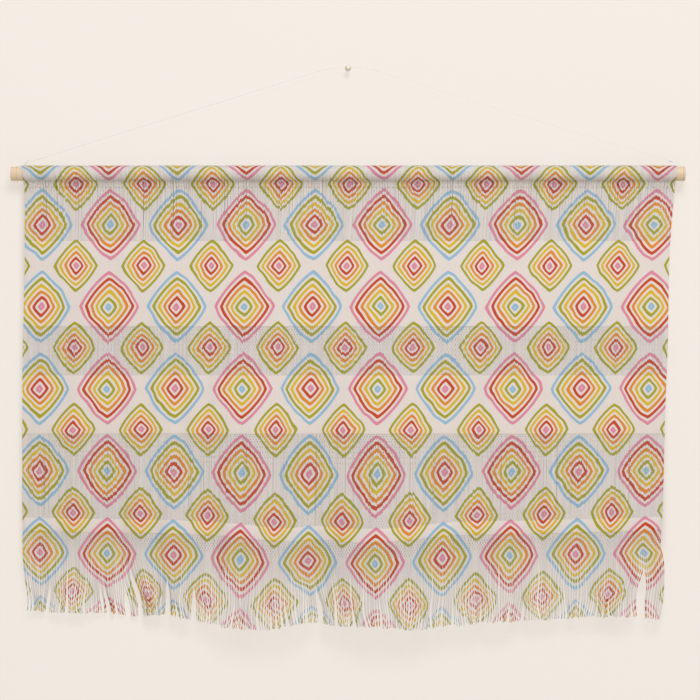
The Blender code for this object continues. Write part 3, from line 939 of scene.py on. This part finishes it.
def close_weave_material():
    """The close bands, with the bumps of warp and weft."""
    n = Nodes("printed_close_weave")
    flat = n.attribute("flat", "Vector")
    fuzz = cloth_fuzz(n, flat)
    set_cloth(n, flat, n.math("ADD", cloth_shade(n, flat, fuzz), 0.925), NO_TINT)
    heights = []
    for direction, scale in (("X", 196.0), ("Y", 260.0)):
        wave = n.add("ShaderNodeTexWave", bands_direction=direction)
        wave.inputs["Scale"].default_value = 1.0
        wave.inputs["Distortion"].default_value = 0.6
        wave.inputs["Detail"].default_value = 1.0
        n.link(n.stretched(flat, (scale, scale, 1.0)), wave.inputs["Vector"])
        heights.append(wave.outputs["Fac"])
    n.bump(n.math("ADD", n.math("MULTIPLY", *heights), fuzz), 0.45, 0.0003)
    return n.material


def wood_material():
    n = Nodes("pale_wood_grain")
    place = n.place()
    grain = n.noise(n.stretched(place, (9.0, 420.0, 420.0)), 1.0, 4.0, 0.62)
    streak = n.noise(n.stretched(place, (3.0, 120.0, 120.0)), 1.0, 2.0)
    colour = n.mix(grain, linear(236, 214, 187), linear(219, 190, 155))
    colour = n.mix(n.math("MULTIPLY", streak, 0.5), colour, linear(228, 200, 165))
    n.link(colour, n.shader.inputs["Base Color"])
    rough = n.math("ADD", n.math("MULTIPLY", grain, 0.15), 0.48)
    n.link(rough, n.shader.inputs["Roughness"])
    n.shader.inputs["Specular IOR Level"].default_value = 0.3
    n.bump(grain, 0.35, 0.0002)
    return n.material


def nylon_material():
    n = Nodes("clear_nylon")
    cloud = n.noise(n.place(), 60.0, 1.0)
    colour = n.mix(cloud, linear(206, 212, 214), linear(216, 221, 223))
    n.link(colour, n.shader.inputs["Base Color"])
    n.shader.inputs["Roughness"].default_value = 0.30
    n.shader.inputs["IOR"].default_value = 1.53
    n.shader.inputs["Specular IOR Level"].default_value = 0.25
    n.shader.inputs["Alpha"].default_value = 0.15
    return n.material


def brass_material():
    n = Nodes("dull_brass")
    cloud = n.noise(n.place(), 900.0, 3.0)
    colour = n.mix(cloud, linear(208, 199, 178), linear(226, 218, 199))
    n.link(colour, n.shader.inputs["Base Color"])
    n.shader.inputs["Metallic"].default_value = 0.7
    rough = n.math("ADD", n.math("MULTIPLY", cloud, 0.2), 0.48)
    n.link(rough, n.shader.inputs["Roughness"])
    n.bump(cloud, 0.15, 0.0001)
    return n.material


# Dowel, line and nail

DOWEL_EASING = 0.0010
NAIL_SHANK = ((0.0, 0.0011), (-0.0065, 0.0011), (-0.0077, 0.0012), (-NAIL_SHANK_LENGTH, 0.0034))
NAIL_HEAD_RADIUS = 0.0035
NAIL_RIM_DEPTH = 0.0003
NAIL_DOME_HEIGHT = 0.0015
NAIL_TIP_RADIUS = 0.00002
LONG_SPAN = 0.012  # spans of the line from this length on are nearly straight
KNOT_TURNS = 4
KNOT_STEPS = 10
KNOT_START = 0.0022
KNOT_PITCH = 0.00085
KNOT_RADIUS = 0.00088
KNOT_TAIL = ((0.0008, 0.0004, 0.0), (0.0022, 0.0012, 0.0004), (0.0038, 0.0015, 0.0010))


def turned(name, profile, sides, centre, along, finish):
    """A turned piece. The profile's pairs are a place along its line and a radius."""
    points = []
    faces = []
    for place, radius in profile:
        for k in range(sides):
            a = radius * cos(2 * pi * k / sides)
            b = radius * sin(2 * pi * k / sides)
            offset = (place, a, b) if along == "X" else (-b, place, a)
            points.append(Vector(centre) + Vector(offset))
    for ring in range(len(profile) - 1):
        for k in range(sides):
            a = ring * sides + k
            b = ring * sides + (k + 1) % sides
            faces.append((a, b, b + sides, a + sides))
    faces.append(tuple(range(sides))[::-1])
    faces.append(tuple(range((len(profile) - 1) * sides, len(profile) * sides)))
    mesh = bpy.data.meshes.new(name)
    mesh.from_pydata(points, [], faces)
    mesh.shade_smooth()
    mesh.set_sharp_from_angle(angle=TURNED_EDGE)
    return hanging_piece(name, mesh, finish)


def make_dowel():
    half = DOWEL_LENGTH / 2
    ends = []
    for step in range(6):
        turn = pi / 2 * step / 5
        place = half - DOWEL_EASING * (1 - sin(turn))
        ends.append((place, DOWEL_RADIUS - DOWEL_EASING * (1 - cos(turn))))
    body = [(half * share / 20, DOWEL_RADIUS) for share in range(-19, 20)]
    profile = [(-place, radius) for place, radius in ends[::-1]] + body + ends
    return turned("dowel_rod", profile, 64, (0, DOWEL_Y, DOWEL_Z), "X", wood_material())


def make_nail():
    """A plain shank that widens under a domed head."""
    profile = list(NAIL_SHANK)
    for step in range(9):
        turn = pi / 2 * step / 8
        place = -NAIL_SHANK_LENGTH - NAIL_RIM_DEPTH - NAIL_DOME_HEIGHT * sin(turn)
        profile.append((place, NAIL_HEAD_RADIUS * cos(turn) + NAIL_TIP_RADIUS))
    return turned("brass_nail", profile, 40, (0, 0, 0), "Y", brass_material())


def wrap_points(x, direction):
    """The line's turns round the dowel, from above its front at x towards the dowel's end."""
    made = []
    count = round(WRAP_TURNS * WRAP_STEPS)
    for k in range(count + 1):
        turn = WRAP_START + 2 * pi * WRAP_TURNS * k / count
        out = direction * WRAP_PITCH * (turn / (2 * pi))
        made.append((x + out, DOWEL_Y + WRAP_RADIUS * sin(turn), DOWEL_Z + WRAP_RADIUS * cos(turn)))
    return made


def smooth_line(route):
    """Points on a smooth curve through the route: three more in a short span, one in a long one."""
    route = np.array(route)
    at = way_along(route)
    slopes = np.gradient(route, at, axis=0)
    made = []
    for i, length in enumerate(np.diff(at)):
        for t in (0, 0.25, 0.5, 0.75) if length < LONG_SPAN else (0, 0.5):
            ends = (route[i], route[i + 1], slopes[i], slopes[i + 1])
            made.append(tuple(smooth_between(t, length, *ends)))
    made.append(tuple(route[-1]))
    return made


def tube(name, points, finish):
    """A piece of the clear line along points."""
    curve = bpy.data.curves.new(name, "CURVE")
    curve.dimensions = "3D"
    spline = curve.splines.new("POLY")
    spline.points.add(len(points) - 1)
    for place, point in zip(spline.points, points):
        place.co = (*point, 1.0)
    curve.bevel_depth = LINE_RADIUS
    curve.bevel_resolution = 3
    curve.use_fill_caps = True
    return hanging_piece(name, curve, finish)


def knot(name, foot, towards, finish):
    """A small knot just above the dowel: tight turns round the line, and a short free end."""
    foot = Vector(foot)
    way = (Vector(towards) - foot).normalized()
    side = way.cross(Vector((0, 1, 0))).normalized()
    other = way.cross(side)
    points = []
    for k in range(KNOT_TURNS * KNOT_STEPS + 1):
        turn = 2 * pi * k / KNOT_STEPS
        along = KNOT_START + KNOT_PITCH * k / KNOT_STEPS
        points.append(foot + way * along + (side * cos(turn) + other * sin(turn)) * KNOT_RADIUS)
    last = points[-1]
    for up, out, forward in KNOT_TAIL:
        points.append(last + way * up + side * out - Vector((0, forward, 0)))
    return tube(name, points, finish)


def make_line():
    finish = nylon_material()
    left = wrap_points(WRAP_LEFT_X, -1)
    right = wrap_points(WRAP_RIGHT_X, 1)
    points = smooth_line(left[::-1] + list(LINE_ROUTE) + right)
    line = tube("clear_line", points, finish)
    knots = [
        knot("knot_left", LINE_ROUTE[1], LINE_ROUTE[3], finish),
        knot("knot_right", LINE_ROUTE[-3], LINE_ROUTE[-5], finish),
    ]
    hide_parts("hanging_line")


# The surroundings and the camera

CAMERA_DISTANCE = 4.0
VIEW_MIDDLE = (0.00244, DOWEL_Y, -0.3443)
VIEW_WIDTH = 0.8550
WALL_Y = 0.0006
FLOOR_Z = -1.1
WALL_GLOW = 0.68  # of the wall's light, so that shadows on it are as faint as in a bright room
# Painted shade: behind the cloth the wall's glow is lowered, for the shade the cloth casts there.
SHADE_BEHIND_CLOTH = 0.88  # of that light is missing where the cloth hangs close to the wall
SHADE_DIP = 0.030  # how much further down that reaches in the middle, where the hem hangs lower
SHADE_DIP_TURN = 5.5  # radians a metre, from the middle to the sides
LIGHTS_TARGET = (0, 0, -0.35)


def make_camera():
    data = bpy.data.cameras.new("camera")
    data.lens = data.sensor_width * CAMERA_DISTANCE / VIEW_WIDTH
    data.clip_end = 50.0
    camera = placed("camera", data)
    camera.location = (VIEW_MIDDLE[0], VIEW_MIDDLE[1] - CAMERA_DISTANCE, VIEW_MIDDLE[2])
    camera.rotation_euler = (pi / 2, 0, 0)
    bpy.context.scene.camera = camera


def plane(name, corners, finish):
    mesh = bpy.data.meshes.new(name)
    mesh.from_pydata(corners, [], [(0, 1, 2, 3)])
    mesh.materials.append(finish)
    made = placed(name, mesh)
    return made


def painted_shade_part(n, place):
    """The part of the wall behind the cloth where shade is painted in, 1 inside and 0 outside, with
    soft edges.
    """
    x, _, z = n.parts(place)
    middle = n.math("COSINE", n.math("MULTIPLY", x, SHADE_DIP_TURN), clamp=True)
    deeper = n.math("ADD", z, n.math("MULTIPLY", middle, SHADE_DIP))
    inside = None
    for value, outer, inner in (
        (x, -0.405, -0.375),
        (x, 0.395, 0.365),
        (deeper, -0.610, -0.560),
        (z, -0.125, -0.145),
    ):
        edge = n.add("ShaderNodeMapRange", interpolation_type="SMOOTHSTEP")
        edge.inputs["From Min"].default_value = min(outer, inner)
        edge.inputs["From Max"].default_value = max(outer, inner)
        n.link(value, edge.inputs["Value"])
        share = edge.outputs[0] if outer < inner else n.math("SUBTRACT", 1.0, edge.outputs[0])
        inside = share if inside is None else n.math("MULTIPLY", inside, share)
    return inside


def wall_material():
    """Pale paint with a glow that stands in for the room's light, and painted shade behind the cloth;
    it only shows from the front, so that the hanging's back can be seen too.
    """
    n = Nodes("pale_wall")
    place = n.place()
    cloud = n.noise(place, 1.5, 1.0)
    paint = n.mix(cloud, linear(242, 235, 227), linear(244, 237, 229))
    darkened = n.mix(1.0, paint, (1 - WALL_GLOW, 1 - WALL_GLOW, 1 - WALL_GLOW), "MULTIPLY")
    n.link(darkened, n.shader.inputs["Base Color"])
    n.link(paint, n.shader.inputs["Emission Color"])
    # Painted shade: the wall's glow is lowered behind the cloth.
    shade = n.math("MULTIPLY", painted_shade_part(n, place), SHADE_BEHIND_CLOTH)
    glow = n.math("MULTIPLY", n.math("SUBTRACT", 1.0, shade), WALL_GLOW)
    n.link(glow, n.shader.inputs["Emission Strength"])
    n.shader.inputs["Roughness"].default_value = 0.95
    n.shader.inputs["Specular IOR Level"].default_value = 0.0
    from_behind = n.add("ShaderNodeNewGeometry").outputs["Backfacing"]
    clear = n.add("ShaderNodeBsdfTransparent")
    both = n.add("ShaderNodeMixShader")
    n.link(from_behind, both.inputs[0])
    n.link(n.shader.outputs[0], both.inputs[1])
    n.link(clear.outputs[0], both.inputs[2])
    n.link(both.outputs[0], n.tree.nodes["Material Output"].inputs["Surface"])
    return n.material


def floor_material():
    n = Nodes("pale_floor")
    cloud = n.noise(n.place(), 2.0, 1.0)
    colour = n.mix(cloud, linear(232, 227, 220), linear(236, 231, 225))
    n.link(colour, n.shader.inputs["Base Color"])
    n.shader.inputs["Roughness"].default_value = 0.9
    return n.material


def make_stage():
    corners = [(-3, WALL_Y, FLOOR_Z), (3, WALL_Y, FLOOR_Z), (3, WALL_Y, 2.2), (-3, WALL_Y, 2.2)]
    wall = plane("wall", corners, wall_material())
    wall.visible_diffuse = False
    wall.visible_glossy = False
    wall.visible_transmission = False
    wall.visible_shadow = False
    corners = [(-4, -4, FLOOR_Z), (4, -4, FLOOR_Z), (4, 4, FLOOR_Z), (-4, 4, FLOOR_Z)]
    plane("floor", corners, floor_material())


def area_light(name, place, size, power):
    data = bpy.data.lights.new(name, "AREA")
    data.shape = "RECTANGLE"
    data.size, data.size_y = size
    data.energy = power
    light = placed(name, data)
    light.location = place
    towards = Vector(LIGHTS_TARGET) - Vector(place)
    light.rotation_euler = towards.to_track_quat("-Z", "Y").to_euler()


def make_lights():
    world = bpy.data.worlds.new("studio")
    world.use_nodes = True
    background = world.node_tree.nodes["Background"]
    background.inputs["Color"].default_value = (1.0, 1.0, 1.0, 1.0)
    background.inputs["Strength"].default_value = 0.45
    bpy.context.scene.world = world
    area_light("key", (0.45, -2.5, 2.1), (1.5, 1.1), 76)
    area_light("back_fill", (-0.6, 2.6, 0.9), (2.0, 1.5), 26)
    bpy.context.scene.view_settings.view_transform = "Standard"


# The whole hanging


def make_cloth():
    yarn = yarn_material()
    close = close_weave_material()
    sheets = []
    for band in OPEN_BANDS:
        warp = warp_yarns(band, yarn)
        weft = weft_yarns(band.name.replace("warp", "weft"), band.nets, yarn)
        sheets += [warp, weft]
    for band in CLOSE_BANDS:
        piece = close_sheet(band, close_half, close)
        sheets.append(piece)
    ridge = close_sheet(RIDGE_BAND, ridge_half, close)
    fringe = fringe_yarns(yarn)
    picks = weft_yarns("weft_end_mesh", (HEM_NET,), yarn)
    seam = stitches(yarn)
    for piece in (*sheets, ridge, picks, seam):
        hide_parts("cloth")
    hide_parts("fringe", "cloth")


def main():
    make_camera()
    make_line()
    rod = make_dowel()
    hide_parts("dowel")
    nail = make_nail()
    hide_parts("nail")
    make_cloth()
    make_stage()
    make_lights()


main()
